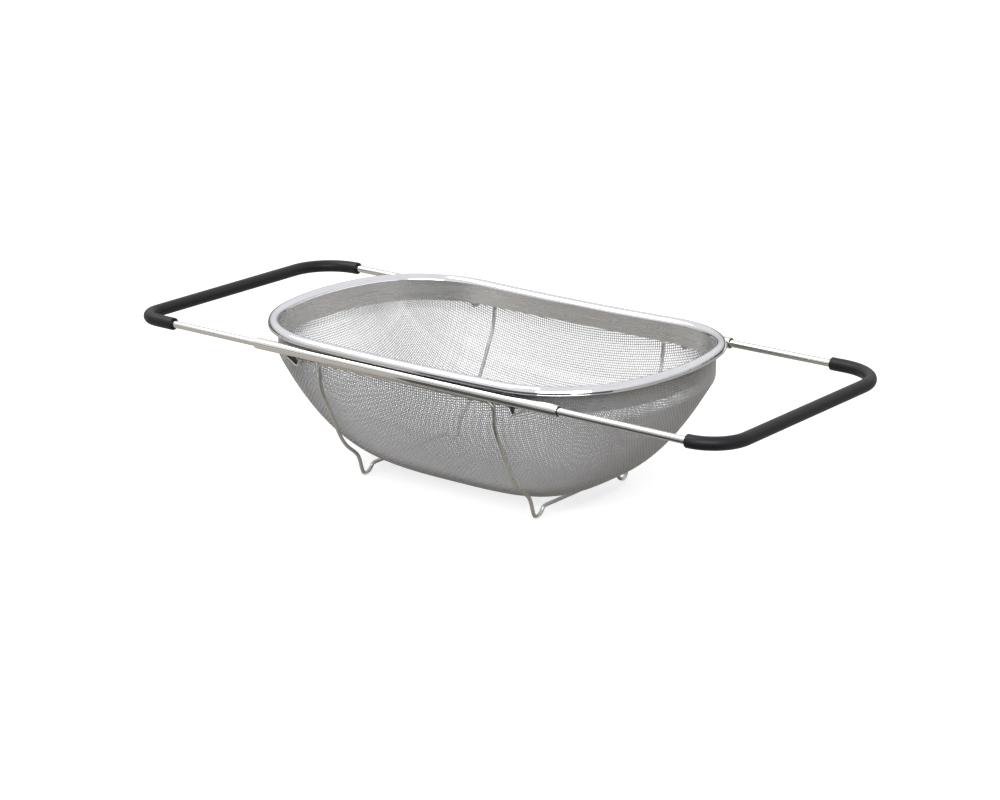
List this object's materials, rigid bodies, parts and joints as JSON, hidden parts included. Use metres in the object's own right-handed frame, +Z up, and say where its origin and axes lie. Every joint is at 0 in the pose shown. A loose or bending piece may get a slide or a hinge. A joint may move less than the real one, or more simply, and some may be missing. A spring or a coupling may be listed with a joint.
{
  "type": "over-the-sink sieve strainer",
  "caption": "Woven wire basket in a rolled rim, held between two tubes with sliding U handles that rest on a sink or tank edge, on a bent wire frame with feet.",
  "frame": {"origin": "on the floor, under the middle of the basket, level with the undersides of the four wire feet", "axes": "+X along the slide tubes towards the right handle, +Y from the front tube to the back tube, +Z up out of the basket's mouth"},
  "size_m": [0.5869, 0.2414, 0.1292],
  "materials": {
    "rim_steel": "mirror-polished stainless steel sheet",
    "band_steel": "satin rolled stainless steel strip",
    "mesh_steel": "woven fine stainless steel wire",
    "wire_steel": "drawn and polished stainless steel wire",
    "tube_steel": "mirror-polished stainless steel tube",
    "bracket_steel": "polished stainless steel sheet",
    "rod_steel": "bright drawn stainless steel rod",
    "grip_rubber": "matte soft rubber sleeve",
    "bush_nylon": "moulded nylon",
    "plug_nylon": "moulded nylon"
  },
  "bodies": {
    "basket": {"rim_bead": "rim_steel", "inner_band": "band_steel", "mesh_basket": "mesh_steel", "leg_wire_frame": "wire_steel", "side_tube_front": "tube_steel", "side_tube_back": "tube_steel", "v_bracket_left_front": "bracket_steel", "tube_bush_left_front": "bush_nylon", "v_bracket_right_front": "bracket_steel", "tube_bush_right_front": "bush_nylon", "v_bracket_left_back": "bracket_steel", "tube_bush_left_back": "bush_nylon", "v_bracket_right_back": "bracket_steel", "tube_bush_right_back": "bush_nylon"},
    "left_handle": {"left_handle_rod": "rod_steel", "left_grip": "grip_rubber", "rod_end_plug_left_front": "plug_nylon", "rod_end_plug_left_back": "plug_nylon"},
    "right_handle": {"right_handle_rod": "rod_steel", "right_grip": "grip_rubber", "rod_end_plug_right_front": "plug_nylon", "rod_end_plug_right_back": "plug_nylon"}
  },
  "joints": [
    {"name": "left_handle_slide", "type": "slide", "parent": "basket", "child": "left_handle", "axis": [-1, 0, 0], "range_m": [-0.09, 0.0353]},
    {"name": "right_handle_slide", "type": "slide", "parent": "basket", "child": "right_handle", "axis": [1, 0, 0], "range_m": [-0.0925, 0.0228]}
  ]
}
